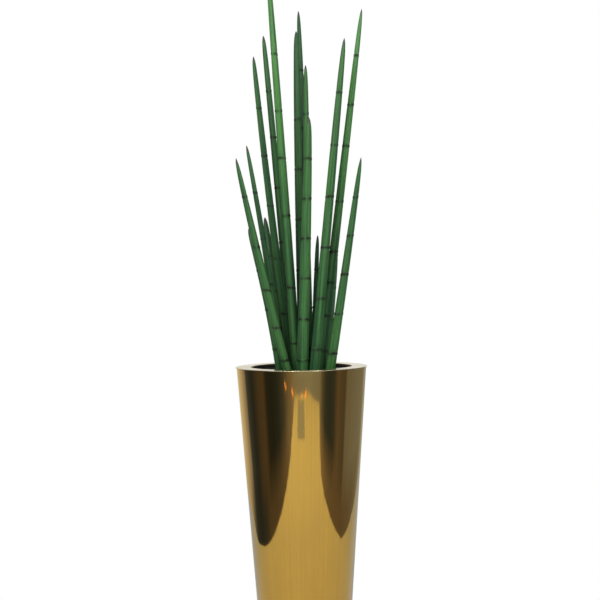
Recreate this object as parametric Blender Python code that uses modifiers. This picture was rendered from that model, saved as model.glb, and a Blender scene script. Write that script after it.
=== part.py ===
"""A tall tapered brass planter with a lift-out liner, planted with cylindrical snake-plant spears.

Metres, +Z up. The origin is on the floor under the middle of the pot, and the front is towards -Y.
"""

import math

import bmesh
import bpy
from mathutils import Matrix, Vector

GAP = 0.0003               # what pieces that touch keep between them

# Brass pot: a rolled, tapered shell closed by a flat plate round its mouth.
POT_HEIGHT = 0.720
RIM_RADIUS = 0.170
MOUTH_RADIUS = 0.1308
PLATE_THICKNESS = 0.002
SHELL_TOP_RADIUS = 0.1675
SHELL_FOOT_RADIUS = 0.115
SHELL_WALL = 0.0012
SHELL_FOOT_Z = 0.003
SHELL_TOP_Z = POT_HEIGHT - PLATE_THICKNESS - GAP
SHELL_SLOPE = (SHELL_TOP_RADIUS - SHELL_FOOT_RADIUS) / (SHELL_TOP_Z - SHELL_FOOT_Z)

# Ring under the plate, with a ledge that the liner hangs on.
LEDGE_TOP = 0.706
LEDGE_THICKNESS = 0.0015
LEDGE_RADIUS = 0.1235
SEAT_INNER_RADIUS = 0.1305
SEAT_OUTER_RADIUS = 0.1325

# Base plate with its flange, feet and ballast.
BASE_TOP = 0.0115
BASE_THICKNESS = 0.0015
BASE_FLANGE_Z = 0.004
FOOT_CIRCLE = 0.098
FOOT_RADIUS = 0.009
FOOT_STEM_RADIUS = 0.004
FOOT_BULB_RADIUS = 0.0058
FOOT_BULB_HEIGHT = 0.004
FOOT_EDGE = 0.001
FOOT_COUNT = 4
BALLAST_RADIUS = 0.086
BALLAST_HEIGHT = 0.060
BALLAST_EDGE = 0.004

# Liner: a plastic tub with a thick band at its top.
LINER_TOP = 0.7185
LINER_BAND_RADIUS = 0.1295
LINER_NECK_RADIUS = 0.1225
LINER_FLOOR_RADIUS = 0.100
LINER_FLOOR_Z = 0.420
LINER_WALL = 0.0025
LINER_EDGE = 0.002          # the chamfer round its floor
LINER_BAND_STEP = 0.004    # how high its band runs from the neck to its full width
LINER_SLOPE = (LINER_NECK_RADIUS - LINER_FLOOR_RADIUS) / (LEDGE_TOP - LINER_FLOOR_Z)

# Foam and the dark dressing over it, which hold the spears.
FOAM_TOP = 0.632
DRESSING_TOP = 0.652
PEG_RADIUS = 0.003
PEG_LENGTH = 0.070
PEG_CLEARANCE = 0.0004
PEG_SIDES = 10
STEM_CLEARANCE = 0.0005
STEM_LIFT = 0.0016         # a leaning spear's lower end stands this far over the foam

# Two wire handles inside the liner, each in a pair of clips.
HANDLE_Y = 0.100
HANDLE_Z = 0.698
HANDLE_WIRE = 0.002
HANDLE_LEG_X = 0.0355
HANDLE_DROP = 0.034
HANDLE_BEND = 0.007
HANDLE_PIN_END = 0.001     # what a pin shows beyond its clip
CLIP_X = 0.050
CLIP_LENGTH = 0.012
CLIP_HEIGHT = 0.012
CLIP_FRONT_Y = 0.0955
CLIP_DEPTH = 0.030         # before the liner's wall cuts it to fit
CLIP_HOLE_RADIUS = 0.0024

# Spears, front ones first: foot (x, y) on the dressing, tip (x, y, z), sideways bow, widest
# diameter, and the power of the distance from the tip that the width grows as.
SPEARS = [
    ((0.0005, -0.034), (0.028, -0.095, 1.345), 0.0, 0.0310, 0.23),
    ((-0.0235, -0.048), (-0.155, -0.105, 1.245), -0.0015, 0.0240, 0.30),
    ((0.066, -0.030), (0.157, -0.090, 1.245), 0.0000, 0.0260, 0.34),
    ((0.030, -0.037), (0.119, -0.100, 1.540), -0.0030, 0.0275, 0.28),
    ((-0.050, -0.026), (-0.129, -0.050, 1.074), 0.0100, 0.0230, 0.21),
    ((-0.011, -0.010), (-0.072, -0.040, 1.758), 0.0025, 0.0260, 0.28),
    ((0.014, -0.012), (0.022, -0.030, 1.492), 0.0015, 0.0210, 0.22),
    ((0.043, -0.011), (0.167, -0.045, 1.629), -0.0015, 0.0270, 0.32),
    ((-0.043, -0.0015), (-0.133, -0.015, 1.291), 0.0060, 0.0185, 0.23),
    ((-0.018, 0.013), (-0.114, 0.030, 1.531), -0.0035, 0.0225, 0.22),
    ((0.005, 0.010), (-0.001, 0.045, 1.600), -0.0015, 0.0240, 0.20),
    ((0.031, 0.010), (0.0485, 0.055, 1.062), -0.0015, 0.0170, 0.21),
    ((0.054, 0.018), (0.100, 0.090, 1.044), 0.0030, 0.0200, 0.25),
    ((-0.041, 0.021), (-0.093, 0.110, 1.116), 0.0035, 0.0230, 0.17),
    ((-0.019, 0.042), (-0.089, 0.085, 1.600), 0.0035, 0.0220, 0.19),
    ((0.022, 0.032), (0.006, 0.120, 1.676), 0.0030, 0.0225, 0.24),
]
SPEAR_RINGS = 12
SPEAR_CROWDING = 2.2       # how much closer together the rings stand towards the tip
SPEAR_TIP_RADIUS = 0.0004
TIP_LENGTH = 0.012         # over which the point sharpens
WAIST_TOP = 0.720          # a spear narrows from this height down to its foot
WAIST_SCALE = 0.66

SHELL_STEPS = 72
STEPS = 48
FOOT_STEPS = 16


# ---- helpers --------------------------------------------------------------------------------------

def clear_scene():
    """Remove every object that the file holds."""
    for item in list(bpy.data.objects):
        bpy.data.objects.remove(item, do_unlink=True)


def new_collection(name):
    """Add a collection to the scene."""
    group = bpy.data.collections.new(name)
    bpy.context.scene.collection.children.link(group)
    return group


def finish(name, colour, roughness, metallic=0.0):
    """Make a plain Principled material."""
    made = bpy.data.materials.new(name)
    made.use_nodes = True
    shader = made.node_tree.nodes["Principled BSDF"]
    shader.inputs["Base Color"].default_value = (*colour, 1.0)
    shader.inputs["Roughness"].default_value = roughness
    shader.inputs["Metallic"].default_value = metallic
    return made


def place(name, data, group, material=None, location=(0.0, 0.0, 0.0)):
    """Add an object to a collection, with its own material."""
    item = bpy.data.objects.new(name, data)
    item.location = location
    if material is not None:
        data.materials.clear()
        data.materials.append(material)
    group.objects.link(item)
    return item


def turned(name, profile, group, material=None, steps=STEPS, closed=True, location=(0.0, 0.0, 0.0)):
    """Turn a profile of (radius, z) points about Z. Its outer side runs from top to bottom."""
    count = len(profile)
    edges = [(i, (i + 1) % count) for i in range(count if closed else count - 1)]
    mesh = bpy.data.meshes.new(name)
    mesh.from_pydata([(r, 0.0, z) for r, z in profile], edges, [])
    item = place(name, mesh, group, material, location)
    screw = item.modifiers.new("turn", "SCREW")
    screw.steps = steps
    screw.render_steps = steps
    screw.use_merge_vertices = True
    screw.merge_threshold = 0.00005
    screw.use_smooth_shade = True
    return item


def rod(name, start, end, radius, group, segments=16):
    """Make a guide cylinder between two points."""
    start, end = Vector(start), Vector(end)
    mesh = bpy.data.meshes.new(name)
    shape = bmesh.new()
    bmesh.ops.create_cone(shape, cap_ends=True, segments=segments, radius1=radius, radius2=radius,
                          depth=(end - start).length)
    turn = (end - start).to_track_quat("Z", "Y").to_matrix().to_4x4()
    bmesh.ops.transform(shape, matrix=Matrix.Translation((start + end) / 2) @ turn, verts=shape.verts)
    shape.to_mesh(mesh)
    shape.free()
    return as_guide(place(name, mesh, group))


def as_guide(item):
    """Mark an object as a guide, which isn't a piece of the planter."""
    item.hide_render = True
    item.display_type = "WIRE"
    return item


def joined(name, items, group):
    """Join guide meshes that lie clear of each other into one guide."""
    mesh = bpy.data.meshes.new(name)
    shape = bmesh.new()
    for item in items:
        shape.from_mesh(item.data)
        bpy.data.objects.remove(item, do_unlink=True)
    shape.to_mesh(mesh)
    shape.free()
    return as_guide(place(name, mesh, group))


def combine(item, guide, operation):
    """Add a Boolean of the item with a guide."""
    cut = item.modifiers.new(operation.lower(), "BOOLEAN")
    cut.operation = operation
    cut.solver = "EXACT"
    cut.object = guide


def wire(name, points, radii, depth, group, material, resolution, location=(0.0, 0.0, 0.0)):
    """Make a round bar through points, with a radius factor at each."""
    curve = bpy.data.curves.new(name, "CURVE")
    curve.dimensions = "3D"
    curve.bevel_depth = depth
    curve.bevel_resolution = resolution
    curve.use_fill_caps = True
    spline = curve.splines.new("POLY")
    spline.points.add(len(points) - 1)
    for target, point, radius in zip(spline.points, points, radii):
        target.co = (*point, 1.0)
        target.radius = radius
    spline.use_smooth = True
    return place(name, curve, group, material, location)


def arc(centre, radius, start, end, count):
    """Points on an arc, in degrees."""
    angles = [math.radians(start + (end - start) * i / count) for i in range(count + 1)]
    return [(centre[0] + radius * math.cos(a), centre[1] + radius * math.sin(a)) for a in angles]


def liner_inner_radius(z):
    """The liner's inner radius at a height below its band."""
    return LINER_NECK_RADIUS - LINER_WALL - LINER_SLOPE * (LEDGE_TOP - z)


# ---- the brass pot --------------------------------------------------------------------------------

def add_outer_shell(parts):
    """The tapered sheet-brass wall."""
    brass = finish("polished_brass", (0.62, 0.46, 0.20), 0.16, 1.0)
    profile = [
        (SHELL_TOP_RADIUS, SHELL_TOP_Z),
        (SHELL_FOOT_RADIUS, SHELL_FOOT_Z),
        (SHELL_FOOT_RADIUS - SHELL_WALL, SHELL_FOOT_Z),
        (SHELL_TOP_RADIUS - SHELL_WALL, SHELL_TOP_Z),
    ]
    turned("outer_shell", profile, parts, brass, SHELL_STEPS)


def add_rim_plate(parts):
    """The flat plate round the mouth, with both edges rounded."""
    brass = finish("satin_brass", (0.72, 0.60, 0.38), 0.28, 1.0)
    edge = PLATE_THICKNESS / 2
    middle = POT_HEIGHT - edge
    profile = arc((RIM_RADIUS - edge, middle), edge, 90, -90, 4)
    profile += arc((MOUTH_RADIUS + edge, middle), edge, 270, 90, 4)
    turned("rim_plate", profile, parts, brass, SHELL_STEPS)


def add_seat_ring(parts):
    """The L-section ring brazed under the plate, whose ledge holds the liner up."""
    brass = finish("plain_brass", (0.55, 0.42, 0.22), 0.40, 1.0)
    top = POT_HEIGHT - PLATE_THICKNESS - GAP
    profile = [
        (SEAT_OUTER_RADIUS, top),
        (SEAT_OUTER_RADIUS, LEDGE_TOP - LEDGE_THICKNESS),
        (LEDGE_RADIUS, LEDGE_TOP - LEDGE_THICKNESS),
        (LEDGE_RADIUS, LEDGE_TOP),
        (SEAT_INNER_RADIUS, LEDGE_TOP),
        (SEAT_INNER_RADIUS, top),
    ]
    turned("liner_seat_ring", profile, parts, brass)


def foot_places():
    """Where the feet's axes stand."""
    turns = [math.radians(45 + 360 * i / FOOT_COUNT) for i in range(FOOT_COUNT)]
    return [(FOOT_CIRCLE * math.cos(a), FOOT_CIRCLE * math.sin(a)) for a in turns]


def add_base_plate(parts, guides):
    """The steel disc with a turned-down flange and a hole for each foot."""
    steel = finish("black_steel", (0.05, 0.05, 0.05), 0.55, 0.6)
    outer = SHELL_FOOT_RADIUS - SHELL_WALL - 2 * GAP
    inner = outer - BASE_THICKNESS
    profile = [
        (0.0, BASE_TOP),
        (outer - BASE_THICKNESS / 2, BASE_TOP),
        (outer, BASE_TOP - BASE_THICKNESS / 2),
        (outer, BASE_FLANGE_Z),
        (inner, BASE_FLANGE_Z),
        (inner, BASE_TOP - BASE_THICKNESS),
        (0.0, BASE_TOP - BASE_THICKNESS),
    ]
    plate = turned("base_plate", profile, parts, steel, closed=False)
    holes = [
        rod(f"foot_hole_{i}", (x, y, 0.0), (x, y, 2 * BASE_TOP), FOOT_STEM_RADIUS + GAP, guides)
        for i, (x, y) in enumerate(foot_places())
    ]
    combine(plate, joined("foot_holes", holes, guides), "DIFFERENCE")


def add_feet(parts):
    """Push-in rubber feet: a pad under the plate, a stem in its hole and a bulb above it."""
    under = BASE_TOP - BASE_THICKNESS - GAP
    bulb = BASE_TOP + GAP
    profile = [
        (0.0, bulb + FOOT_BULB_HEIGHT),
        (FOOT_BULB_RADIUS / 2, bulb + 0.9 * FOOT_BULB_HEIGHT),
        (FOOT_BULB_RADIUS, bulb),
        (FOOT_STEM_RADIUS, bulb),
        (FOOT_STEM_RADIUS, under),
        (FOOT_RADIUS, under),
        (FOOT_RADIUS, FOOT_EDGE),
        (FOOT_RADIUS - FOOT_EDGE, 0.0),
        (0.0, 0.0),
    ]
    for i, (x, y) in enumerate(foot_places(), start=1):
        rubber = finish(f"foot_rubber_{i}", (0.02, 0.02, 0.02), 0.8)
        turned(f"foot_{i}", profile, parts, rubber, FOOT_STEPS, closed=False, location=(x, y, 0.0))


def add_ballast(parts):
    """The cast disc that keeps the tall pot upright."""
    stone = finish("cast_concrete", (0.35, 0.34, 0.32), 0.9)
    bottom = BASE_TOP + GAP
    top = bottom + BALLAST_HEIGHT
    profile = [
        (0.0, top),
        (BALLAST_RADIUS - BALLAST_EDGE, top),
        (BALLAST_RADIUS, top - BALLAST_EDGE),
        (BALLAST_RADIUS, bottom),
        (0.0, bottom),
    ]
    turned("ballast", profile, parts, stone, closed=False)


# ---- the liner ------------------------------------------------------------------------------------

def add_liner(parts):
    """The black tub, which hangs from the ledge by its band."""
    plastic = finish("liner_plastic", (0.02, 0.02, 0.02), 0.45)
    floor_top = LINER_FLOOR_Z + LINER_WALL
    band_bottom = LEDGE_TOP + GAP
    edge = LINER_WALL / 2
    band_inner = LINER_BAND_RADIUS - LINER_WALL
    profile = [
        (0.0, floor_top),
        (liner_inner_radius(floor_top), floor_top),
        (liner_inner_radius(LEDGE_TOP), LEDGE_TOP),
        (band_inner, LEDGE_TOP + LINER_BAND_STEP),
    ]
    profile += arc((band_inner + edge, LINER_TOP - edge), edge, 180, 0, 3)
    profile += [
        (LINER_BAND_RADIUS, band_bottom),
        (LINER_NECK_RADIUS, band_bottom),
        (LINER_FLOOR_RADIUS, LINER_FLOOR_Z + LINER_EDGE),
        (LINER_FLOOR_RADIUS - LINER_EDGE, LINER_FLOOR_Z),
        (0.0, LINER_FLOOR_Z),
    ]
    turned("liner", profile, parts, plastic, closed=False)


def filling(name, bottom, top, parts, material):
    """A solid disc that fills the liner between two heights."""
    fit = 2 * GAP
    profile = [
        (0.0, top),
        (liner_inner_radius(top) - fit, top),
        (liner_inner_radius(bottom) - fit, bottom),
        (0.0, bottom),
    ]
    return turned(name, profile, parts, material, closed=False)


def add_foam(parts, guides):
    """The foam block, with a hole for each spear's peg."""
    foam = finish("floral_foam", (0.10, 0.16, 0.10), 0.95)
    block = filling("foam_block", LINER_FLOOR_Z + LINER_WALL + GAP, FOAM_TOP, parts, foam)
    holes = []
    for i, spear in enumerate(SPEARS):
        x, y, z = spear_base(spear)
        low, high = (x, y, z - PEG_LENGTH - 2 * GAP), (x, y, DRESSING_TOP)
        holes.append(rod(f"peg_hole_{i}", low, high, PEG_RADIUS + PEG_CLEARANCE, guides, PEG_SIDES))
    combine(block, joined("peg_holes", holes, guides), "DIFFERENCE")


def add_dressing(parts, guides):
    """The dark dressing over the foam, with a hole round each spear."""
    soil = finish("dark_dressing", (0.03, 0.025, 0.02), 0.95)
    disc = filling("top_dressing", FOAM_TOP + GAP, DRESSING_TOP, parts, soil)
    holes = []
    for i, spear in enumerate(SPEARS):
        low, high = (Vector(spear_point(spear, z)) for z in (FOAM_TOP, DRESSING_TOP))
        reach = high - low
        radius = spear_radius(spear, DRESSING_TOP) + STEM_CLEARANCE
        holes.append(rod(f"stem_hole_{i}", low - reach, high + reach, radius, guides))
    combine(disc, joined("stem_holes", holes, guides), "DIFFERENCE")


def add_clips(parts, guides):
    """Four blocks on the liner's wall, with the holes that the handles turn in."""
    low, high = HANDLE_Z - CLIP_HEIGHT, HANDLE_Z + CLIP_HEIGHT
    wall = turned(
        "liner_wall_guide",
        [
            (0.0, high),
            (liner_inner_radius(high) - GAP, high),
            (liner_inner_radius(low) - GAP, low),
            (0.0, low),
        ],
        guides,
        closed=False,
    )
    as_guide(wall)
    reach = CLIP_X + CLIP_LENGTH
    number = 0
    for side in (-1, 1):
        ends = [(end * reach, side * HANDLE_Y, HANDLE_Z) for end in (-1, 1)]
        hole = rod(f"pivot_hole_{side}", *ends, CLIP_HOLE_RADIUS, guides)
        for end in (-1, 1):
            number += 1
            mesh = bpy.data.meshes.new(f"handle_clip_{number}")
            shape = bmesh.new()
            bmesh.ops.create_cube(shape, size=1.0)
            bmesh.ops.scale(shape, vec=(CLIP_LENGTH, CLIP_DEPTH, CLIP_HEIGHT), verts=shape.verts)
            centre = (end * CLIP_X, side * (CLIP_FRONT_Y + CLIP_DEPTH / 2), HANDLE_Z)
            bmesh.ops.translate(shape, vec=centre, verts=shape.verts)
            shape.to_mesh(mesh)
            shape.free()
            plastic = finish(f"clip_plastic_{number}", (0.03, 0.03, 0.03), 0.5)
            clip = place(f"handle_clip_{number}", mesh, parts, plastic)
            combine(clip, wall, "INTERSECT")
            combine(clip, hole, "DIFFERENCE")


def handle_points():
    """One handle's wire from pin to pin, hanging from an axis along X."""
    pin = CLIP_X + CLIP_LENGTH / 2 + HANDLE_PIN_END
    bend = HANDLE_BEND
    top = arc((HANDLE_LEG_X + bend, -bend), bend, 90, 180, 4)
    low = arc((HANDLE_LEG_X - bend, -HANDLE_DROP + bend), bend, 0, -90, 4)
    half = [(pin, 0.0)] + top + low
    points = half + [(-x, z) for x, z in reversed(half)]
    return [(x, 0.0, z) for x, z in points]


def add_handles(parts):
    """The two wire handles that the liner is lifted by."""
    for name, side in (("handle_front", -1), ("handle_back", 1)):
        steel = finish(f"{name}_wire", (0.10, 0.10, 0.10), 0.35, 1.0)
        points = handle_points()
        wire(name, points, [1.0] * len(points), HANDLE_WIRE, parts, steel, 2,
             location=(0.0, side * HANDLE_Y, HANDLE_Z))


# ---- the spears -----------------------------------------------------------------------------------

def spear_point(spear, z):
    """The spear's centre at a height: a straight lean with a slight sideways bow."""
    (foot_x, foot_y), (tip_x, tip_y, tip_z), bow, _, _ = spear
    t = (z - DRESSING_TOP) / (tip_z - DRESSING_TOP)
    x = foot_x + (tip_x - foot_x) * t + bow * 4 * t * (1 - t)
    return x, foot_y + (tip_y - foot_y) * t, z


def spear_base(spear):
    """The centre of the spear's lower end, just over the foam."""
    return spear_point(spear, FOAM_TOP + STEM_LIFT)


def spear_radius(spear, z):
    """The spear's radius at a height: a sharp tip, a long slow taper and a narrow foot."""
    (_, _, tip_z), _, width, power = spear[1:]
    below = max(tip_z - z, 0.0)
    length = tip_z - DRESSING_TOP
    taper = min(below / length, 1.0) ** power
    point = math.sqrt(1 - math.exp(-below / TIP_LENGTH))
    waist = min(max((WAIST_TOP - z) / (WAIST_TOP - DRESSING_TOP), 0.0), 1.0)
    return max(width / 2 * taper * point * (1 - (1 - WAIST_SCALE) * waist), SPEAR_TIP_RADIUS)


def spear_heights(spear):
    """The heights of a spear's rings, closer together at its foot and towards its tip."""
    base, tip = spear_base(spear)[2], spear[1][2]
    steps = [(1 - i / SPEAR_RINGS) ** SPEAR_CROWDING for i in range(SPEAR_RINGS)]
    return [base, DRESSING_TOP] + [tip - (tip - WAIST_TOP) * step for step in steps] + [tip]


def add_spears(parts):
    """The spears, each with a wire peg straight down into the foam."""
    for number, spear in enumerate(SPEARS, start=1):
        green = finish(f"spear_green_{number:02d}", (0.05, 0.20, 0.06), 0.5)
        foot = Vector(spear_base(spear))
        heights = spear_heights(spear)
        points = [foot - Vector((0.0, 0.0, PEG_LENGTH)), foot - Vector((0.0, 0.0, GAP))]
        points += [Vector(spear_point(spear, z)) for z in heights]
        radii = [PEG_RADIUS] * 2 + [spear_radius(spear, z) for z in heights]
        wire(f"spear_{number:02d}", [p - foot for p in points], [1000 * r for r in radii], 0.001,
             parts, green, 2, location=foot)


def main():
    """Build the whole planter."""
    clear_scene()
    parts = new_collection("brass_planter")
    guides = new_collection("guides")
    add_outer_shell(parts)
    add_rim_plate(parts)
    add_seat_ring(parts)
    add_base_plate(parts, guides)
    add_feet(parts)
    add_ballast(parts)
    add_liner(parts)
    add_foam(parts, guides)
    add_dressing(parts, guides)
    add_clips(parts, guides)
    add_handles(parts)
    add_spears(parts)


main()
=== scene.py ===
"""The looks of a planted brass floor planter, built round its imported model.

Metres, +Z up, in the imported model's own frame. The front is towards -Y.
"""

import math
import random

import bmesh
import bpy
import numpy as np
from mathutils import Matrix, Vector, noise


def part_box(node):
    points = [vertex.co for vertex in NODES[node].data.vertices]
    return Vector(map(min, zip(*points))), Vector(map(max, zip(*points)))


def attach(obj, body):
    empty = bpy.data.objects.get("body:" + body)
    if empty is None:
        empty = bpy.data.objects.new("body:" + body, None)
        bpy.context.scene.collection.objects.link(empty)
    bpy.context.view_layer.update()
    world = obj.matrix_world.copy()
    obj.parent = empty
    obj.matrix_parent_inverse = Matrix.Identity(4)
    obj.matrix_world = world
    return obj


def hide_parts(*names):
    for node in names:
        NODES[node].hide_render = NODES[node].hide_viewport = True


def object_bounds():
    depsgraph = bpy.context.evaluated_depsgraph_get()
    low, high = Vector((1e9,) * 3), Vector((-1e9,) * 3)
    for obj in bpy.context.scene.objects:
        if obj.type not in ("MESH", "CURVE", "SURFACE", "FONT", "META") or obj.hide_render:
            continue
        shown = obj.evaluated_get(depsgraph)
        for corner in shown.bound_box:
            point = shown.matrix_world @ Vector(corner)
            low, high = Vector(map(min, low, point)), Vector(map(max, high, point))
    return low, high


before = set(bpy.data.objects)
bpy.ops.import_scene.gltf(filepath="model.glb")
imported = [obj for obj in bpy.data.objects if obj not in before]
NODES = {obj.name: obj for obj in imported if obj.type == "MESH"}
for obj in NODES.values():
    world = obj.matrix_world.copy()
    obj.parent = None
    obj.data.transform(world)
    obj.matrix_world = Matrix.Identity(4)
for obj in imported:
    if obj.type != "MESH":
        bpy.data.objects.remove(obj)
cad_low, cad_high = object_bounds()

TAU = 2 * math.pi
MM = 0.001

# Camera: level, a little above the rim, turned slightly about its own axis.
CAMERA_DISTANCE = 2.46
CAMERA_HEIGHT = 0.891
CAMERA_X = -0.001
CAMERA_ROLL = -0.85
CAMERA_LENS = 57

# Spears: how the nodes are spaced down each one from its tip, as first, spacing and growth. Those of two
# spears are uneven, and are listed from the tip.
SPEAR_NODES = {
    1: (0.102, 0.098, 1.015),
    2: (0.095, 0.125, 0.870),
    3: (0.098, 0.096, 1.015),
    4: (0.134, 0.128, 1.000),
    5: (0.107, 0.100, 1.000),
    7: (0.125, 0.120, 1.000),
    9: (0.122, 0.118, 1.000),
    10: (0.136, 0.125, 1.050),
    11: (0.235, 0.132, 1.000),
    12: (0.090, 0.100, 1.000),
    13: (0.035, 0.085, 1.000),
    14: (0.105, 0.097, 1.000),
    15: (0.150, 0.125, 1.080),
    16: (0.165, 0.160, 1.000),
}
SPEAR_UNEVEN = {
    6: (0.239, 0.383, 0.504, 0.651, 0.835, 0.977),
    8: (0.119, 0.242, 0.347, 0.487, 0.616, 0.695, 0.779, 0.868),
}
# How light each spear's green is low down and at its top: partly each spear's own tone, partly painted shade
# low in the clump and painted light towards the tops.
SPEAR_TONE_AND_PAINTED_LIGHT = {
    1: (0.50, 0.45),
    2: (0.40, 0.62),
    3: (0.42, 0.70),
    4: (0.42, 0.48),
    5: (0.32, 0.30),
    6: (0.22, 1.00),
    7: (0.35, 0.25),
    8: (0.36, 1.00),
    9: (0.25, 0.30),
    10: (0.22, 0.32),
    11: (0.20, 0.18),
    12: (0.04, 0.00),
    13: (0.30, 0.30),
    14: (0.12, 0.05),
    15: (0.20, 0.28),
    16: (0.20, 0.20),
}
SPEAR_SIDES = 40
SPEAR_ROW = 0.009
SPEAR_POINT = 0.012        # over which the tip sharpens
SPEAR_WAIST = 0.068        # height over the foot where a spear reaches its full width
SPEAR_WAIST_SCALE = 0.66
SPEAR_TIP_ZONE = 0.04      # over which the rings close up towards the tip
NODE_ROWS = (-8, -6, -4.5, -3.2, -2.1, -1, 0, 1, 2.1, 3.2, 4.5, 6, 8)    # rings round a node, in mm
PEG_RADIUS = 3 * MM

# Dressing
DRESSING_RINGS = 26
DRESSING_SIDES = 120
DRESSING_GRAINS = 2200


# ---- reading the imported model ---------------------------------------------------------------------

def section(node, centre=(0.0, 0.0)):
    """The outline of a turned node as (radius, z) points in order, and whether it closes on itself.

    A flat end without a point in its middle is carried on to the axis.
    """
    mesh = NODES[node].data
    near = 2e-5

    def key(index):
        point = mesh.vertices[index].co
        radius = point.x - centre[0]
        if abs(point.y - centre[1]) > near or radius < -near:
            return None
        return round(max(radius, 0.0), 5), round(point.z, 5)

    links = {}
    for edge in mesh.edges:
        a, b = key(edge.vertices[0]), key(edge.vertices[1])
        if a is None or b is None or a == b:
            continue
        links.setdefault(a, set()).add(b)
        links.setdefault(b, set()).add(a)
    for radius, z in [p for p in links if len(links[p]) == 1 and p[0] > 0.0]:
        links[radius, z].add((0.0, z))
        links.setdefault((0.0, z), set()).add((radius, z))
    ends = sorted(p for p in links if p[0] == 0.0 and len(links[p]) == 1)
    start = ends[-1] if ends else max(links)
    outline, last = [start], None
    while True:
        onward = sorted(p for p in links[outline[-1]] if p != last and p not in outline[1:])
        last = outline[-1]
        if not onward or onward[0] == start:
            break
        outline.append(onward[0])
    return outline, not ends


def rounded(outline, closed, radius, count=4):
    """The outline with its sharp corners rounded."""
    made = []
    total = len(outline)
    for i, point in enumerate(outline):
        if not closed and i in (0, total - 1):
            made.append(point)
            continue
        here = Vector(point)
        before, after = Vector(outline[i - 1]) - here, Vector(outline[(i + 1) % total]) - here
        turn = math.pi - before.angle(after)
        if turn < math.radians(25):
            made.append(point)
            continue
        cut = min(radius * math.tan(turn / 2), 0.4 * before.length, 0.4 * after.length)
        a, b = here + before.normalized() * cut, here + after.normalized() * cut
        for k in range(count + 1):
            t = k / count
            made.append(tuple(a * (1 - t) ** 2 + here * 2 * t * (1 - t) + b * t ** 2))
    return made


def resampled(outline, closed, step):
    """The outline with its long stretches divided."""
    total = len(outline)
    made = []
    for i in range(total if closed else total - 1):
        a, b = Vector(outline[i]), Vector(outline[(i + 1) % total])
        parts = max(1, math.ceil((b - a).length / step))
        made += [tuple(a.lerp(b, k / parts)) for k in range(parts)]
    if not closed:
        made.append(outline[-1])
    return made


# ---- building meshes ------------------------------------------------------------------------------

def add_piece(name, mesh, body, material, replaces=()):
    """Put a finished mesh in the scene, riding on a body."""
    mesh.materials.clear()
    mesh.materials.append(material)
    piece = bpy.data.objects.new(name, mesh)
    bpy.context.scene.collection.objects.link(piece)
    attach(piece, body)
    if replaces:
        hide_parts(*replaces)
    return piece


def smooth(mesh, angle=35):
    """Shade a mesh smooth, but keep its sharp edges."""
    mesh.shade_smooth()
    mesh.set_sharp_from_angle(angle=math.radians(angle))


def vector_attribute(mesh, name, values):
    """Store one vector at each point."""
    layer = mesh.attributes.new(name, "FLOAT_VECTOR", "POINT")
    layer.data.foreach_set("vector", np.asarray(values, np.float32).ravel())


def float_attribute(mesh, name, values):
    """Store one number at each point."""
    layer = mesh.attributes.new(name, "FLOAT", "POINT")
    layer.data.foreach_set("value", np.asarray(values, np.float32))


def turned(name, outline, closed, angles, centre=(0.0, 0.0)):
    """Turn an outline about Z into a closed mesh, with its skin coordinates stored."""
    shape = bmesh.new()
    columns = []
    poles = {}
    for angle in angles:
        column = []
        for k, (radius, z) in enumerate(outline):
            if radius < 1e-6:
                if k not in poles:
                    poles[k] = shape.verts.new((*centre, z))
                column.append(poles[k])
                continue
            x, y = centre[0] + radius * math.cos(angle), centre[1] + radius * math.sin(angle)
            column.append(shape.verts.new((x, y, z)))
        columns.append(column)
    rows = len(outline) if closed else len(outline) - 1
    for i, column in enumerate(columns):
        following = columns[(i + 1) % len(columns)]
        for k in range(rows):
            n = (k + 1) % len(outline)
            corners = [column[k], column[n], following[n], following[k]]
            corners = [c for j, c in enumerate(corners) if c not in corners[:j]]
            if len(corners) > 2:
                shape.faces.new(corners)
    bmesh.ops.recalc_face_normals(shape, faces=shape.faces)
    mesh = bpy.data.meshes.new(name)
    shape.to_mesh(mesh)
    shape.free()
    store_skin(mesh, centre)
    smooth(mesh)
    return mesh


def store_skin(mesh, centre=(0.0, 0.0)):
    """Store (cosine, sine, height) at each point, for grain that runs along the axis."""
    skin = []
    for vertex in mesh.vertices:
        x, y = vertex.co.x - centre[0], vertex.co.y - centre[1]
        radius = max(math.hypot(x, y), 1e-6)
        skin.append((x / radius, y / radius, vertex.co.z))
    vector_attribute(mesh, "skin", skin)


def even_angles(count):
    """Evenly spaced angles for a full turn."""
    return [TAU * i / count for i in range(count)]


def turned_piece(node, body, material, edge, segments=192, step=0.02, name=None):
    """Replace a turned node with a finer one, its corners rounded."""
    low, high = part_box(node)
    middle = (low + high) / 2
    centre = (middle.x, middle.y) if middle.xy.length > 0.01 else (0.0, 0.0)
    outline, closed = section(node, centre)
    outline = resampled(rounded(outline, closed, edge), closed, step)
    mesh = turned(name or f"{node}_fine", outline, closed, even_angles(segments), centre)
    return add_piece(name or f"{node}_fine", mesh, body, material, (node,))


# ---- materials ------------------------------------------------------------------------------------

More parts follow.
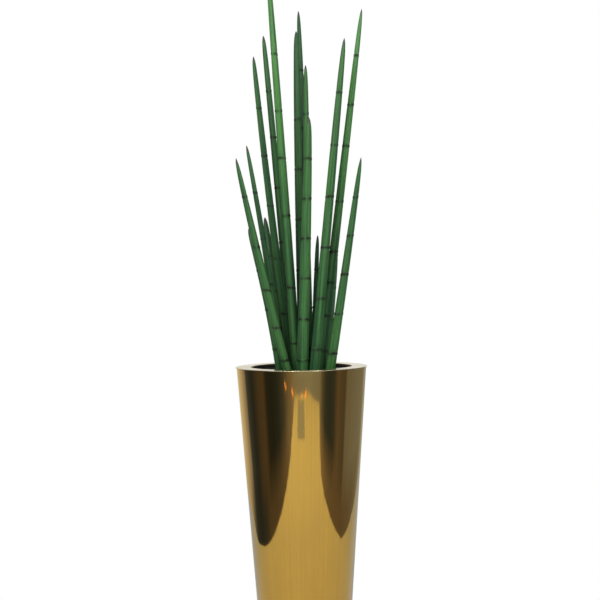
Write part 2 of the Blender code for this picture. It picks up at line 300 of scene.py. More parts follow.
class Shader:
    """A small helper that builds one material's nodes."""

    def __init__(self, name):
        self.material = bpy.data.materials.new(name)
        self.material.use_nodes = True
        self.tree = self.material.node_tree
        self.principled = self.tree.nodes["Principled BSDF"]

    def node(self, kind, inputs=None, **settings):
        """Add a node. An input is a socket to link or a plain value."""
        made = self.tree.nodes.new("ShaderNode" + kind)
        for key, value in settings.items():
            setattr(made, key, value)
        for key, value in (inputs or {}).items():
            self.feed(made.inputs[key], value)
        return made

    def feed(self, socket, value):
        """Link a socket, or set its value."""
        if isinstance(value, bpy.types.NodeSocket):
            self.tree.links.new(value, socket)
        else:
            socket.default_value = value

    def surface(self, **values):
        """Set the Principled inputs, with underscores for spaces."""
        for key, value in values.items():
            name = key.replace("_", " ").title().replace("Ior", "IOR")
            self.feed(self.principled.inputs[name], value)
        return self.material

    def noise(self, vector, scale, detail=4.0, roughness=0.55, distortion=0.0):
        """A noise texture's value."""
        values = {"Vector": vector, "Scale": scale, "Detail": detail, "Roughness": roughness,
                  "Distortion": distortion}
        return self.node("TexNoise", values).outputs["Fac"]

    def ramp(self, value, low, high, to_low=0.0, to_high=1.0):
        """Map a value's range to another, clamped and eased."""
        values = {"Value": value, "From Min": low, "From Max": high, "To Min": to_low, "To Max": to_high}
        return self.node("MapRange", values, interpolation_type="SMOOTHSTEP").outputs["Result"]

    def mix(self, factor, a, b):
        """Mix two colours."""
        made = self.node("Mix", data_type="RGBA", clamp_factor=True)
        self.feed(made.inputs[0], factor)
        self.feed(made.inputs[6], a)
        self.feed(made.inputs[7], b)
        return made.outputs[2]

    def math(self, operation, a, b=0.0):
        """Do a sum on two values."""
        made = self.node("Math", operation=operation)
        self.feed(made.inputs[0], a)
        self.feed(made.inputs[1], b)
        return made.outputs[0]

    def stretched(self, vector, scale):
        """Scale a vector, to stretch a texture."""
        return self.node("Mapping", {"Vector": vector, "Scale": scale}).outputs["Vector"]

    def attribute(self, name, output="Vector"):
        """Read a stored attribute."""
        return self.node("Attribute", attribute_name=name).outputs[output]

    def place(self):
        """The object's own coordinates."""
        return self.node("TexCoord").outputs["Object"]

    def bump(self, height, strength, distance, normal=None):
        """Turn a height into a bumped normal."""
        values = {"Height": height, "Strength": strength, "Distance": distance}
        if normal is not None:
            values["Normal"] = normal
        return self.node("Bump", values).outputs["Normal"]


def brass_material(name, light, dark, smooth_at, rough_at, brush, patina, lacquer=0.0):
    """Polished or satin brass with lengthwise brush lines, soft patina and handling smudges."""
    shader = Shader(name)
    skin = shader.attribute("skin")
    fine = shader.noise(shader.stretched(skin, (150, 150, 2.2)), 1.0, 3)
    broad = shader.noise(shader.stretched(skin, (16, 16, 0.9)), 1.0, 3)
    clouds = shader.noise(shader.stretched(skin, (1.6, 1.6, 5)), 1.0, 6, 0.6, 0.4)
    specks = shader.noise(shader.place(), 420, 2)
    tone = shader.mix(shader.ramp(clouds, 0.35, 0.72, 0.0, patina), light, dark)
    lines = shader.ramp(fine, 0.42, 0.70, 0.0, 0.50)
    tone = shader.mix(lines, tone, (dark[0] * 0.92, dark[1] * 0.76, dark[2] * 0.60, 1.0))
    tone = shader.mix(shader.ramp(broad, 0.5, 0.75, 0.0, 0.20), tone, dark)
    spread = shader.math("ADD", shader.math("MULTIPLY", clouds, 0.6), shader.math("MULTIPLY", fine, 0.4))
    roughness = shader.ramp(spread, 0.3, 0.75, smooth_at, rough_at)
    normal = shader.bump(fine, brush, 0.00004)
    normal = shader.bump(broad, brush * 0.6, 0.0002, normal)
    normal = shader.bump(specks, brush * 0.25, 0.00003, normal)
    return shader.surface(base_color=tone, metallic=1.0, roughness=roughness, normal=normal,
                          coat_weight=lacquer)


def plastic_material(name, colour, roughness, grain=900.0):
    """Moulded plastic with a fine grain and faint scuffs."""
    shader = Shader(name)
    place = shader.place()
    fine = shader.noise(place, grain, 3)
    scuffs = shader.noise(shader.stretched(place, (30, 30, 90)), 1.0, 5, 0.65)
    pale = tuple(min(c * 1.9 + 0.012, 1.0) for c in colour) + (1.0,)
    tone = shader.mix(shader.ramp(scuffs, 0.55, 0.8, 0.0, 0.6), (*colour, 1.0), pale)
    rough = shader.ramp(scuffs, 0.3, 0.7, roughness, min(roughness + 0.2, 1.0))
    normal = shader.bump(fine, 0.35, 0.0001)
    return shader.surface(base_color=tone, roughness=rough, normal=normal, specular_ior_level=0.3)


def steel_wire_material():
    """Black-oxide wire, worn a little in patches."""
    shader = Shader("black_wire")
    place = shader.place()
    wear = shader.noise(place, 160, 5, 0.6)
    tone = shader.mix(shader.ramp(wear, 0.52, 0.72), (0.035, 0.035, 0.038, 1), (0.16, 0.155, 0.15, 1))
    rough = shader.ramp(wear, 0.3, 0.7, 0.42, 0.26)
    normal = shader.bump(shader.noise(place, 1500, 2), 0.3, 0.0001)
    return shader.surface(base_color=tone, metallic=0.85, roughness=rough, normal=normal)


def painted_steel_material():
    """Black powder coat with its fine orange peel."""
    shader = Shader("black_powder_coat")
    place = shader.place()
    peel = shader.noise(place, 700, 2)
    dust = shader.noise(place, 24, 6, 0.65)
    tone = shader.mix(shader.ramp(dust, 0.5, 0.8, 0.0, 0.5), (0.02, 0.02, 0.021, 1), (0.09, 0.085, 0.08, 1))
    return shader.surface(base_color=tone, roughness=shader.ramp(dust, 0.3, 0.7, 0.4, 0.65),
                          normal=shader.bump(peel, 0.5, 0.0002))


def concrete_material():
    """Cast concrete with pits and stains."""
    shader = Shader("cast_concrete")
    place = shader.place()
    stain = shader.noise(place, 14, 8, 0.6)
    grit = shader.noise(place, 380, 6, 0.7)
    pits = shader.node("TexVoronoi", {"Vector": place, "Scale": 130.0}).outputs["Distance"]
    tone = shader.mix(shader.ramp(stain, 0.3, 0.7), (0.22, 0.21, 0.20, 1), (0.42, 0.40, 0.37, 1))
    tone = shader.mix(shader.ramp(grit, 0.55, 0.75, 0.0, 0.5), tone, (0.13, 0.125, 0.12, 1))
    normal = shader.bump(shader.ramp(pits, 0.0, 0.25), 0.6, 0.0008)
    normal = shader.bump(grit, 0.5, 0.0004, normal)
    return shader.surface(base_color=tone, roughness=0.92, normal=normal)


def foam_material():
    """Green floral foam with open cells, painted darker in each cell's hollow as painted shade."""
    shader = Shader("floral_foam")
    place = shader.place()
    cells = shader.node("TexVoronoi", {"Vector": place, "Scale": 700.0}).outputs["Distance"]
    patch = shader.noise(place, 20, 4)
    tone = shader.mix(shader.ramp(patch, 0.3, 0.7), (0.05, 0.13, 0.06, 1), (0.09, 0.19, 0.09, 1))
    # Painted shade: each cell's hollow is darkened.
    tone = shader.mix(shader.ramp(cells, 0.25, 0.05, 0.0, 0.7), tone, (0.02, 0.05, 0.02, 1))
    return shader.surface(base_color=tone, roughness=0.97, normal=shader.bump(cells, 0.8, 0.0006))


def dressing_material():
    """Dark bark and gravel, a different shade from grain to grain."""
    shader = Shader("dark_dressing")
    place = shader.place()
    grain = shader.attribute("grain", "Fac")
    fine = shader.noise(place, 900, 4, 0.7)
    tone = shader.mix(grain, (0.008, 0.007, 0.006, 1), (0.045, 0.034, 0.024, 1))
    tone = shader.mix(shader.ramp(fine, 0.5, 0.75, 0.0, 0.5), tone, (0.07, 0.055, 0.04, 1))
    rough = shader.ramp(fine, 0.3, 0.7, 0.75, 0.98)
    return shader.surface(base_color=tone, roughness=rough, normal=shader.bump(fine, 0.7, 0.0006))


def spear_material():
    """Waxy green skin with lengthwise streaks, dark nodes, olive patches and a dry brown tip, its green
    painted darker low down and lighter at the top as painted shade and light.
    """
    shader = Shader("spear_skin")
    skin = shader.attribute("skin")
    band = shader.attribute("band", "Fac")
    tip = shader.attribute("tip", "Fac")
    light = shader.attribute("light", "Fac")
    streaks = shader.noise(shader.stretched(skin, (1.7, 1.7, 2.6)), 1.0, 4, 0.6)
    fibres = shader.noise(shader.stretched(skin, (7, 7, 6)), 1.0, 4, 0.6)
    mottle = shader.noise(shader.stretched(skin, (2.2, 2.2, 30)), 1.0, 6, 0.65, 0.6)
    patches = shader.noise(shader.stretched(skin, (0.9, 0.9, 9)), 1.0, 4, 0.6)
    # Painted light and shade: the 'light' attribute darkens the green low in the clump and lightens it up
    # each spear, over each spear's own tone.
    tone = shader.mix(light, (0.016, 0.062, 0.024, 1), (0.076, 0.228, 0.060, 1))
    tone = shader.mix(shader.ramp(patches, 0.52, 0.72, 0.0, 0.40), tone, (0.062, 0.105, 0.032, 1))
    tone = shader.mix(shader.ramp(streaks, 0.50, 0.64, 0.0, 0.60), tone, (0.056, 0.190, 0.030, 1))
    tone = shader.mix(shader.ramp(streaks, 0.50, 0.36, 0.0, 0.80), tone, (0.014, 0.058, 0.024, 1))
    tone = shader.mix(shader.ramp(fibres, 0.50, 0.66, 0.0, 0.70), tone, (0.012, 0.050, 0.020, 1))
    tone = shader.mix(shader.ramp(mottle, 0.58, 0.78, 0.0, 0.25), tone, (0.110, 0.260, 0.085, 1))
    tone = shader.mix(band, tone, (0.012, 0.014, 0.009, 1))
    tone = shader.mix(tip, tone, (0.056, 0.050, 0.040, 1))
    rough = shader.ramp(fibres, 0.35, 0.7, 0.42, 0.58)
    rough = shader.math("ADD", rough, shader.math("MULTIPLY", band, 0.2))
    normal = shader.bump(fibres, 0.35, 0.0006)
    normal = shader.bump(streaks, 0.30, 0.0010, normal)
    return shader.surface(base_color=tone, roughness=rough, normal=normal, specular_ior_level=0.22)


# ---- the brass pot --------------------------------------------------------------------------------

def add_shell():
    """The polished wall, very slightly uneven, with a soldered seam down its back."""
    seam = TAU / 4
    outline, closed = section("outer_shell")
    outline = resampled(rounded(outline, closed, 0.4 * MM), closed, 0.012)
    beside = [k * 0.35 * MM / cad_high.x for k in (-6, -4, -3, -2, -1, 0, 1, 2, 3, 4, 6)]
    angles = [a for a in even_angles(256) if abs(a - seam) > 0.015]
    angles = sorted(angles + [seam + a for a in beside])
    mesh = turned("shell_wall", outline, closed, angles)
    for vertex in mesh.vertices:
        point = vertex.co
        radius = math.hypot(point.x, point.y)
        around = Vector((point.x / radius * 1.3, point.y / radius * 1.3, point.z * 2.2))
        wave = 0.00016 * noise.noise(around) + 0.00004 * noise.noise(around * 4)
        across = abs(math.atan2(point.y, point.x) - seam) * radius
        bead = 0.22 * MM * math.exp(-((across / (0.7 * MM)) ** 2))
        groove = 0.12 * MM * math.exp(-(((across - 1.5 * MM) / (0.4 * MM)) ** 2))
        reach = (radius + wave - 0.0001 + bead - groove) / radius
        point.x *= reach
        point.y *= reach
    brass = brass_material("polished_brass", (0.60, 0.368, 0.058, 1), (0.50, 0.30, 0.052, 1),
                           0.030, 0.090, 0.35, 0.55, 0.5)
    add_piece("shell_wall", mesh, "pot", brass, ("outer_shell",))


def add_rim():
    """The flat plate round the mouth and the ring under it."""
    satin = brass_material("satin_brass", (0.62, 0.55, 0.36, 1), (0.52, 0.45, 0.27, 1), 0.20, 0.34, 0.5, 0.6)
    plain = brass_material("plain_brass", (0.46, 0.33, 0.14, 1), (0.30, 0.21, 0.10, 1), 0.32, 0.50, 0.6, 0.9)
    turned_piece("rim_plate", "pot", satin, 0.3 * MM, 256, 0.006, "rim")
    turned_piece("liner_seat_ring", "pot", plain, 0.3 * MM, 192, 0.006, "seat_ring")


def add_base():
    """The base plate, the feet and the ballast."""
    turned_piece("base_plate", "pot", painted_steel_material(), 0.5 * MM, 160, 0.02, "base")
    rubber = plastic_material("foot_rubber", (0.014, 0.014, 0.015), 0.7, 600.0)
    for node in sorted(n for n in NODES if n.startswith("foot_")):
        turned_piece(node, "pot", rubber, 0.8 * MM, 48, 0.003)
    turned_piece("ballast", "pot", concrete_material(), 1.5 * MM, 96, 0.02, "ballast_disc")


# ---- the liner ------------------------------------------------------------------------------------

def add_liner():
    """The black tub, its foam, its clips and its handles."""
    black = plastic_material("liner_plastic", (0.014, 0.012, 0.009), 0.45)
    turned_piece("liner", "liner", black, 0.6 * MM, 192, 0.008, "liner_tub")
    foam = NODES["foam_block"]
    foam.data.materials.clear()
    foam.data.materials.append(foam_material())
    clip = plastic_material("clip_plastic", (0.018, 0.018, 0.019), 0.42)
    for node in sorted(n for n in NODES if n.startswith("handle_clip_")):
        mesh = welded_copy(node, f"{node}_block")
        shape = bmesh.new()
        shape.from_mesh(mesh)
        sharp = [e for e in shape.edges if e.calc_face_angle(0.0) > math.radians(50)]
        bmesh.ops.bevel(shape, geom=sharp, offset=0.5 * MM, segments=3, affect="EDGES", profile=0.5,
                        clamp_overlap=True)
        shape.to_mesh(mesh)
        shape.free()
        smooth(mesh, 40)
        add_piece(f"{node}_block", mesh, "liner", clip, (node,))
    wire = steel_wire_material()
    for node in ("handle_front", "handle_back"):
        mesh = round_copy(node, f"{node}_wire")
        add_piece(f"{node}_wire", mesh, node, wire, (node,))


def welded_copy(node, name):
    """A copy of a node's mesh with its points merged and its flat triangles joined."""
    mesh = NODES[node].data.copy()
    mesh.name = name
    shape = bmesh.new()
    shape.from_mesh(mesh)
    bmesh.ops.remove_doubles(shape, verts=shape.verts, dist=1e-6)
    bmesh.ops.dissolve_limit(shape, angle_limit=math.radians(1), verts=shape.verts, edges=shape.edges)
    bmesh.ops.recalc_face_normals(shape, faces=shape.faces)
    shape.to_mesh(mesh)
    shape.free()
    return mesh


def round_copy(node, name):
    """A copy of a bent wire's mesh, subdivided until it is round."""
    mesh = welded_copy(node, name)
    holder = bpy.data.objects.new(name + "_cage", mesh)
    bpy.context.scene.collection.objects.link(holder)
    finer = holder.modifiers.new("round", "SUBSURF")
    finer.levels = 2
    finer.render_levels = 2
    evaluated = holder.evaluated_get(bpy.context.evaluated_depsgraph_get())
    made = bpy.data.meshes.new_from_object(evaluated)
    bpy.data.objects.remove(holder)
    made.shade_smooth()
    return made


def add_dressing(spears):
    """The uneven dark bed over the foam, with loose grains on it."""
    rng = random.Random(4)
    low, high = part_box("top_dressing")
    radius = high.x
    shape = bmesh.new()
    grid = []
    centre = shape.verts.new((0, 0, high.z))
    for i in range(1, DRESSING_RINGS + 1):
        r = radius * i / DRESSING_RINGS
        turns = even_angles(DRESSING_SIDES)
        grid.append([shape.verts.new((r * math.cos(a), r * math.sin(a), high.z)) for a in turns])
    for vertex in shape.verts:
        lift = noise.noise(vertex.co * 60) * 1.6 * MM + noise.noise(vertex.co * 210) * 1.1 * MM
        vertex.co.z += lift - 1.0 * MM
    floor = [shape.verts.new((v.co.x * 0.985, v.co.y * 0.985, low.z)) for v in grid[-1]]
    for j in range(DRESSING_SIDES):
        n = (j + 1) % DRESSING_SIDES
        shape.faces.new((centre, grid[0][j], grid[0][n]))
        for inner, outer in zip(grid, grid[1:] + [floor]):
            shape.faces.new((inner[j], outer[j], outer[n], inner[n]))
    shape.faces.new(floor[::-1])
    shades = [0.15] * len(shape.verts)
    for _ in range(DRESSING_GRAINS):
        distance, turn = radius * math.sqrt(rng.random()) * 0.985, rng.random() * TAU
        spot = Vector((distance * math.cos(turn), distance * math.sin(turn), high.z))
        size = rng.uniform(1.2, 3.2) * MM
        clear = (spot.xy - Vector(spear.centre(high.z)[:2]) for spear in spears)
        if any(gap.length < spear.radius(high.z) + size for gap, spear in zip(clear, spears)):
            continue
        grain = bmesh.ops.create_icosphere(shape, subdivisions=1, radius=size)["verts"]
        stretch = Matrix.Diagonal((rng.uniform(0.7, 1.5), rng.uniform(0.6, 1.1), rng.uniform(0.35, 0.7), 1))
        spin = Matrix.Rotation(rng.random() * TAU, 4, "Z") @ Matrix.Rotation(rng.uniform(-0.5, 0.5), 4, "X")
        bmesh.ops.transform(shape, matrix=Matrix.Translation(spot) @ spin @ stretch, verts=grain)
        shade = rng.random() ** 1.6
        for vertex in grain:
            vertex.co += noise.noise_vector(vertex.co * 900) * size * 0.25
            shades.append(shade)
    mesh = bpy.data.meshes.new("dressing_bed")
    bmesh.ops.recalc_face_normals(shape, faces=shape.faces)
    shape.to_mesh(mesh)
    shape.free()
    float_attribute(mesh, "grain", shades)
    smooth(mesh, 60)
    add_piece("dressing_bed", mesh, "liner", dressing_material(), ("top_dressing",))


# ---- the spears -----------------------------------------------------------------------------------

class Spear:
    """One spear, with its centre line and width read from its node."""

    def __init__(self, node, soil):
        self.node = node
        self.number = int(node.split("_")[1])
        points = np.array([v.co for v in NODES[node].data.vertices], float)
        self.foot, self.tip = self.find_foot(points), points[:, 2].max()
        self.soil = soil
        above = points[points[:, 2] > soil]
        self.x = np.polyfit(above[:, 2], above[:, 0], 2)
        self.y = np.polyfit(above[:, 2], above[:, 1], 1)
        self.scale, self.taper = 1.0, 0.0
        body = [p for p in above if soil + SPEAR_WAIST < p[2] < self.tip - 0.03]
        below = [math.log((self.tip - p[2]) / (self.tip - soil)) for p in body]
        wide = [math.log(self.across(p) / self.radius(p[2])) for p in body]
        self.taper, scale = (float(value) for value in np.polyfit(below, wide, 1))
        self.scale = math.exp(scale)
        self.peg = points[:, 2].min()

    @staticmethod
    def find_foot(points):
        """The height of the spear's lower end, over its thin peg."""
        heights = np.sort(np.unique(np.round(points[:, 2], 5)))
        gaps = np.diff(heights[: len(heights) // 2])
        return float(heights[int(np.argmax(gaps[:3])) + 1])

    def centre(self, z):
        """The centre line at a height, which runs straight down under the foot."""
        z_on = max(z, self.foot)
        return float(np.polyval(self.x, z_on)), float(np.polyval(self.y, z_on)), z

    def across(self, point):
        """How far a point is from the centre line, square to it."""
        x, y, _ = self.centre(point[2])
        lean = Vector((self.x[1] + 2 * self.x[0] * point[2], self.y[0], 1.0)).normalized()
        gap = Vector((point[0] - x, point[1] - y, 0.0))
        return (gap - lean * gap.dot(lean)).length

    def radius(self, z):
        """The radius at a height: a sharp tip, a long slow taper and a narrow foot."""
        below = max(self.tip - z, 0.0)
        taper = min(below / (self.tip - self.soil), 1.0) ** self.taper
        point = math.sqrt(1 - math.exp(-below / SPEAR_POINT))
        waist = min(max((self.soil + SPEAR_WAIST - z) / SPEAR_WAIST, 0.0), 1.0)
        return max(self.scale * taper * point * (1 - (1 - SPEAR_WAIST_SCALE) * waist), 0.3 * MM)

    def node_heights(self):
        """The heights of the dark nodes."""
        if self.number in SPEAR_UNEVEN:
            return [self.tip - below for below in SPEAR_UNEVEN[self.number]]
        first, spacing, growth = SPEAR_NODES[self.number]
        heights, z = [], self.tip - first
        while z > self.foot:
            heights.append(z)
            z -= spacing
            spacing *= growth
        return heights

    def rows(self):
        """The heights of the rings, close together at the nodes and towards the tip."""
        rows = list(np.arange(self.foot, self.tip - SPEAR_TIP_ZONE, SPEAR_ROW))
        for z in self.node_heights():
            rows += [z + k * MM for k in NODE_ROWS]
        rows += [self.tip - SPEAR_TIP_ZONE * (1 - k / 14) ** 1.8 for k in range(15)]
        rows = sorted(z for z in rows if z >= self.foot)
        kept = [rows[0]]
        for z in rows[1:]:
            if z - kept[-1] > 0.55 * MM or z == rows[-1]:
                kept.append(z)
        return kept

    def build(self, material):
        """Make the spear's mesh and its attributes."""
        rng = random.Random(self.number)
        phase, twist, ribs = rng.random() * TAU, rng.uniform(-0.8, 0.8), rng.choice((4, 5, 6))
        seed = Vector((self.number * 3.7, 1.3, 0.4))
        nodes = self.node_heights()
        rows = self.rows()
        shape = bmesh.new()
        lists = {"skin": [], "band": [], "tip": [], "light": []}
        low_tone_and_shade, high_tone_and_light = SPEAR_TONE_AND_PAINTED_LIGHT[self.number]
        rings = []
        for z in [self.peg, self.foot - 0.5 * MM] + rows:
            on_peg = z < self.foot
            x, y, _ = self.centre(z)
            ring = []
            for angle in even_angles(SPEAR_SIDES):
                turn = Vector((math.cos(angle), math.sin(angle), 0.0))
                wobble = noise.noise(turn * 1.6 + seed + Vector((0, 0, z * 30)))
                tilts = [z - n - 2.6 * MM * noise.noise(turn * 0.7 + Vector((0, 9, n * 50))) for n in nodes]
                gap = min((abs(t - 0.9 * MM * wobble) for t in tilts), default=1.0)
                radius = PEG_RADIUS if on_peg else self.radius(z)
                if not on_peg:
                    groove = 0.022 * math.cos(ribs * (angle + twist * (z - self.soil)) + phase)
                    swell = 0.5 * MM * math.exp(-((gap / (2.6 * MM)) ** 2))
                    pinch = 0.35 * MM * math.exp(-(((gap - 6 * MM) / (2.2 * MM)) ** 2))
                    radius *= 1 + groove * min(radius / (6 * MM), 1.0)
                    radius += (swell - pinch) * min(radius / (5 * MM), 1.0)
                    radius += 0.12 * MM * noise.noise(turn * 2.2 + seed * 2 + Vector((0, 0, z * 14)))
                    radius = max(radius, 0.2 * MM)
                ring.append(shape.verts.new((x + radius * turn.x, y + radius * turn.y, z)))
                smear = max(noise.noise(turn * 2.5 + seed + Vector((0, 0, z * 8))) + 0.25, 0.0)
                patch = 0.72 + 1.3 * noise.noise(turn * 1.1 + Vector((5, 0, z * 9)) + seed)
                patch = min(max(patch, 0.2), 1.0)
                band = 0.95 * patch * math.exp(-((gap / (3.4 * MM)) ** 2))
                band += 0.7 * smear * math.exp(-((gap / (9 * MM)) ** 2))
                below = self.tip - z + 3 * MM * wobble
                lists["skin"].append((turn.x, turn.y, z + self.number))
                lists["band"].append(0.0 if on_peg else min(band * (0.85 + 0.3 * wobble), 1.0))
                lists["tip"].append(min(max((0.020 - below) / 0.014, 0.0), 0.9))
                # Painted shade and light: the green darkens low in the clump and lightens towards the top.
                rise = min(max((z - self.soil - 0.20) / 0.65, 0.0), 1.0)
                lists["light"].append(low_tone_and_shade + (high_tone_and_light - low_tone_and_shade) * rise)
            rings.append(ring)
        for a, b in zip(rings, rings[1:]):
            for j in range(SPEAR_SIDES):
                n = (j + 1) % SPEAR_SIDES
                shape.faces.new((a[j], a[n], b[n], b[j]))
        shape.faces.new(rings[0][::-1])
        shape.faces.new(rings[-1])
        mesh = bpy.data.meshes.new(self.node + "_skin")
        shape.to_mesh(mesh)
        shape.free()
        vector_attribute(mesh, "skin", lists["skin"])
        for name in ("band", "tip", "light"):
            float_attribute(mesh, name, lists[name])
        smooth(mesh, 70)
        add_piece(self.node + "_skin", mesh, "liner", material, (self.node,))


def add_spears():
    """All the spears, with one skin material."""
    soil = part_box("top_dressing")[1].z
    spears = [Spear(node, soil) for node in sorted(NODES) if node.startswith("spear_")]
    skin = spear_material()
    for spear in spears:
        spear.build(skin)
    return spears


# ---- the studio -----------------------------------------------------------------------------------

# The sides of the studio, which only the pot reflects: (x, y), brightness and warmth from knee height up,
# then the same near the floor, clockwise from the back left.
STUDIO_SIDES = [
    (-0.60, 2.40, 0.66, 1.0, 0.60, 1.0),
    (-0.86, 1.40, 0.64, 1.0, 0.55, 1.0),
    (-1.03, 0.85, 0.60, 0.9, 0.48, 0.9),
    (-0.87, 0.38, 0.36, 0.6, 0.12, 0.2),
    (-0.86, 0.30, 0.10, 0.2, 0.06, 0.1),
    (-0.87, 0.10, 0.055, 0.0, 0.045, 0.0),
    (-0.86, 0.02, 0.045, 0.1, 0.045, 0.1),
    (-0.85, -0.20, 0.085, 0.9, 0.060, 0.5),
    (-0.84, -0.34, 0.090, 1.0, 0.095, 1.0),
    (-0.83, -0.46, 0.036, 0.3, 0.100, 1.0),
    (-0.82, -0.62, 0.034, 0.1, 0.105, 0.9),
    (-0.78, -0.84, 0.045, 0.1, 0.120, 0.9),
    (-0.74, -1.15, 0.090, 0.2, 0.160, 0.9),
    (-0.68, -1.60, 0.220, 0.8, 0.250, 0.8),
    (-0.66, -2.40, 0.290, 0.8, 0.310, 0.8),
    (-0.60, -2.75, 0.400, 0.3, 0.370, 0.4),
    (0.00, -2.80, 0.440, 0.3, 0.400, 0.3),
    (0.60, -2.80, 0.460, 0.3, 0.420, 0.3),
    (1.36, -2.30, 0.350, 0.3, 0.330, 0.4),
    (1.06, -1.70, 0.290, 0.8, 0.320, 1.0),
    (0.86, -1.25, 0.170, 0.3, 0.290, 1.0),
    (0.85, -1.00, 0.075, 0.1, 0.220, 1.0),
    (0.88, -0.80, 0.060, 0.0, 0.170, 1.0),
    (0.89, -0.60, 0.070, 0.2, 0.160, 1.0),
    (0.90, -0.45, 0.140, 1.0, 0.155, 1.0),
    (0.91, -0.19, 0.110, 0.6, 0.140, 1.0),
    (0.90, -0.13, 0.250, 0.5, 0.145, 1.0),
    (1.00, 0.15, 0.270, 0.4, 0.165, 0.8),
    (1.10, 0.50, 0.280, 0.4, 0.200, 0.6),
    (1.22, 1.30, 0.270, 0.6, 0.300, 0.6),
    (1.30, 2.40, 0.480, 0.7, 0.480, 0.7),
]
SIDE_COOL = (0.70, 1.0, 2.00)
SIDE_WARM = (1.15, 1.0, 1.25)
SIDE_BLUE_LOSS = 0.55      # per metre towards the back, where the pot mirrors blue better
SIDE_ROWS = ((0.001, 4), (0.09, 4), (0.26, 2), (2.2, 2))    # height, and which brightness holds there
# Small warm lamps that the pot reflects over its middle, as place and width, and a grey-green card.
LAMPS = [
    (-0.635, -1.20, 0.408, 0.035),
    (-0.600, -1.20, 0.398, 0.035),
    (-0.585, -2.00, 0.200, 0.065),
    (-0.545, -2.00, 0.188, 0.085),
    (0.000, -2.00, 0.197, 0.055),
    (0.205, -2.00, 0.194, 0.085),
    (0.255, -2.00, 0.206, 0.065),
]
LAMP_HEIGHT = 0.016
CARD_LOW = (-0.33, -2.69)
CARD_HIGH = (0.15, -1.98)
DIFFUSE_AMBIENT = 0.5      # how much of the white surroundings lights matt surfaces
FLOOR_MATT_Y = -0.35       # the middle of the plain floor, which the camera sees turn to white round it
FLOOR_FADE = (0.42, 0.72)  # how far from there the change starts and ends
FLOOR_RADIUS = 40.0
FLOOR_TINT_Y = (-0.15, 0.35)    # where the floor's front colour turns into its back one
FLOOR_FRONT = (0.80, 0.79, 0.78, 1.0)
FLOOR_BACK = (0.68, 0.72, 0.72, 1.0)
LAMP_COLOUR = (2.4, 1.05, 0.45)
CARD_COLOUR = (0.50, 0.56, 0.80)
LIGHT_TARGET = (0.0, 0.0, 1.0)


def dimmed(tree, strength, diffuse):
    """A strength that is lower for the light which falls on matt surfaces."""
    path = tree.nodes.new("ShaderNodeLightPath")
    change = tree.nodes.new("ShaderNodeMath")
    change.operation = "MULTIPLY_ADD"
    change.inputs[1].default_value = diffuse - strength
    change.inputs[2].default_value = strength
    tree.links.new(path.outputs["Is Diffuse Ray"], change.inputs[0])
    return change.outputs[0]


def glow_material(name, colour=None):
    """A studio glow of one colour, or of the mesh's own tone."""
    made = bpy.data.materials.new(name)
    made.use_nodes = True
    tree = made.node_tree
    tree.nodes.clear()
    glow = tree.nodes.new("ShaderNodeEmission")
    if colour is None:
        reader = tree.nodes.new("ShaderNodeAttribute")
        reader.attribute_name = "tone"
        tree.links.new(reader.outputs["Color"], glow.inputs["Color"])
    else:
        glow.inputs["Color"].default_value = (*colour, 1.0)
    out = tree.nodes.new("ShaderNodeOutputMaterial")
    tree.links.new(glow.outputs[0], out.inputs["Surface"])
    return made


def sheet(name, corners, material):
    """A flat piece of the studio that only reflections show."""
    mesh = bpy.data.meshes.new(name)
    mesh.from_pydata(corners, [], [(0, 1, 2, 3)])
    stage_object(name, mesh, material, True)


def stage_object(name, mesh, material, reflected_only=False):
    """Add a studio object, which the camera may be kept from seeing."""
    mesh.materials.append(material)
    item = bpy.data.objects.new(name, mesh)
    bpy.context.scene.collection.objects.link(item)
    if reflected_only:
        item.visible_camera = False
        item.visible_diffuse = False
        item.visible_shadow = False
        item.visible_transmission = False


def add_sides():
    """The studio's sides, as one upright ribbon."""
    mesh = bpy.data.meshes.new("studio_sides")
    shape = bmesh.new()
    colours = []
    rows = []
    for height, column in SIDE_ROWS:
        rows.append([shape.verts.new((side[0], side[1], height)) for side in STUDIO_SIDES])
        for side in STUDIO_SIDES:
            tone, warmth = side[column:column + 2]
            colour = [tone * (c + (w - c) * warmth) for c, w in zip(SIDE_COOL, SIDE_WARM)]
            colour[2] *= 1 - SIDE_BLUE_LOSS * min(max(side[1], 0.0), 1.0)
            colours.append(colour)
    for low, high in zip(rows, rows[1:]):
        for i in range(len(low) - 1):
            shape.faces.new((low[i], low[i + 1], high[i + 1], high[i]))
    shape.to_mesh(mesh)
    shape.free()
    vector_attribute(mesh, "tone", colours)
    stage_object("studio_sides", mesh, glow_material("studio_tone"), True)


def add_lamps():
    """The small warm lamps and the card in front of the pot."""
    warm = glow_material("lamp_glow", LAMP_COLOUR)
    for i, (x, y, z, width) in enumerate(LAMPS):
        ends = ((-1, -1), (1, -1), (1, 1), (-1, 1))
        corners = [(x + a * width / 2, y, z + b * LAMP_HEIGHT / 2) for a, b in ends]
        sheet(f"lamp_{i}", corners, warm)
    (x0, y0), (x1, y1) = CARD_LOW, CARD_HIGH
    corners = [(x0, y0, MM), (x1, y0, MM), (x1, y1, MM), (x0, y1, MM)]
    sheet("card", corners, glow_material("card_tone", CARD_COLOUR))


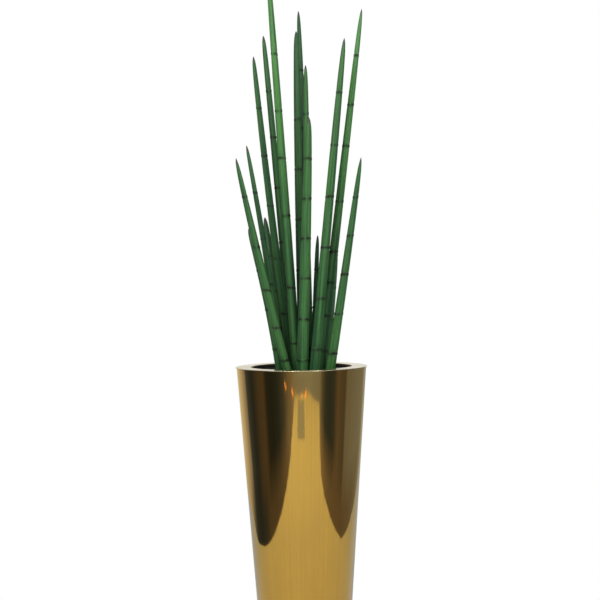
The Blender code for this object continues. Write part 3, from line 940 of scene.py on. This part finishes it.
def add_floor():
    """The pale floor, which the camera sees fade into the white backdrop."""
    mesh = bpy.data.meshes.new("floor")
    shape = bmesh.new()
    bmesh.ops.create_circle(shape, cap_ends=True, segments=96, radius=FLOOR_RADIUS)
    shape.to_mesh(mesh)
    shape.free()
    made = bpy.data.materials.new("pale_floor")
    made.use_nodes = True
    tree = made.node_tree
    matt = tree.nodes["Principled BSDF"]
    split = tree.nodes.new("ShaderNodeSeparateXYZ")
    back = tree.nodes.new("ShaderNodeMapRange")
    back.inputs["From Min"].default_value, back.inputs["From Max"].default_value = FLOOR_TINT_Y
    tint = tree.nodes.new("ShaderNodeMix")
    tint.data_type = "RGBA"
    ends = [socket for socket in tint.inputs if socket.type == "RGBA"]
    ends[0].default_value, ends[1].default_value = FLOOR_FRONT, FLOOR_BACK
    tinted = [socket for socket in tint.outputs if socket.type == "RGBA"][0]
    matt.inputs["Roughness"].default_value = 0.9
    matt.inputs["Specular IOR Level"].default_value = 0.1
    glow = tree.nodes.new("ShaderNodeEmission")
    place = tree.nodes.new("ShaderNodeTexCoord")
    length = tree.nodes.new("ShaderNodeVectorMath")
    length.operation = "DISTANCE"
    length.inputs[1].default_value = (0.0, FLOOR_MATT_Y, 0.0)
    fade = tree.nodes.new("ShaderNodeMapRange")
    fade.interpolation_type = "SMOOTHSTEP"
    fade.inputs["From Min"].default_value, fade.inputs["From Max"].default_value = FLOOR_FADE
    both = tree.nodes.new("ShaderNodeMixShader")
    path = tree.nodes.new("ShaderNodeLightPath")
    seen = tree.nodes.new("ShaderNodeMath")
    seen.operation = "MULTIPLY"
    tree.links.new(place.outputs["Object"], length.inputs[0])
    tree.links.new(length.outputs["Value"], fade.inputs["Value"])
    tree.links.new(place.outputs["Object"], split.inputs[0])
    tree.links.new(split.outputs["Y"], back.inputs["Value"])
    tree.links.new(back.outputs["Result"], tint.inputs["Factor"])
    tree.links.new(tinted, matt.inputs["Base Color"])
    tree.links.new(fade.outputs["Result"], seen.inputs[0])
    tree.links.new(path.outputs["Is Camera Ray"], seen.inputs[1])
    tree.links.new(seen.outputs[0], both.inputs[0])
    tree.links.new(matt.outputs[0], both.inputs[1])
    tree.links.new(glow.outputs[0], both.inputs[2])
    tree.links.new(both.outputs[0], tree.nodes["Material Output"].inputs["Surface"])
    stage_object("floor", mesh, made)


def add_area(name, place, target, size, power):
    """A square soft light."""
    light = bpy.data.lights.new(name, "AREA")
    light.size = size
    light.energy = power
    item = bpy.data.objects.new(name, light)
    item.location = place
    aim = Vector(target) - Vector(place)
    item.rotation_euler = aim.to_track_quat("-Z", "Y").to_euler()
    bpy.context.scene.collection.objects.link(item)
    item.visible_camera = False


def add_studio():
    """The floor, the dark sides, the white world and the soft lights."""
    world = bpy.data.worlds.new("studio")
    bpy.context.scene.world = world
    world.use_nodes = True
    background = world.node_tree.nodes["Background"]
    background.inputs["Color"].default_value = (1.0, 1.0, 1.0, 1.0)
    world.node_tree.links.new(dimmed(world.node_tree, 1.0, DIFFUSE_AMBIENT), background.inputs["Strength"])
    add_floor()
    add_sides()
    add_lamps()
    add_area("key", (-1.2, -2.6, 2.7), LIGHT_TARGET, 1.2, 62.0)
    add_area("fill", (1.5, -2.2, 2.5), LIGHT_TARGET, 1.0, 30.0)
    bpy.context.scene.view_settings.view_transform = "Standard"


def add_camera():
    """The camera, level and a little above the rim."""
    data = bpy.data.cameras.new("camera")
    data.lens = CAMERA_LENS
    data.sensor_width = 36
    camera = bpy.data.objects.new("camera", data)
    turn = Matrix.Rotation(math.radians(90), 4, "X") @ Matrix.Rotation(math.radians(CAMERA_ROLL), 4, "Z")
    camera.matrix_world = Matrix.Translation((CAMERA_X, -CAMERA_DISTANCE, CAMERA_HEIGHT)) @ turn
    bpy.context.scene.collection.objects.link(camera)
    bpy.context.scene.camera = camera


add_camera()
add_studio()
add_shell()
add_rim()
add_base()
add_liner()
add_dressing(add_spears())
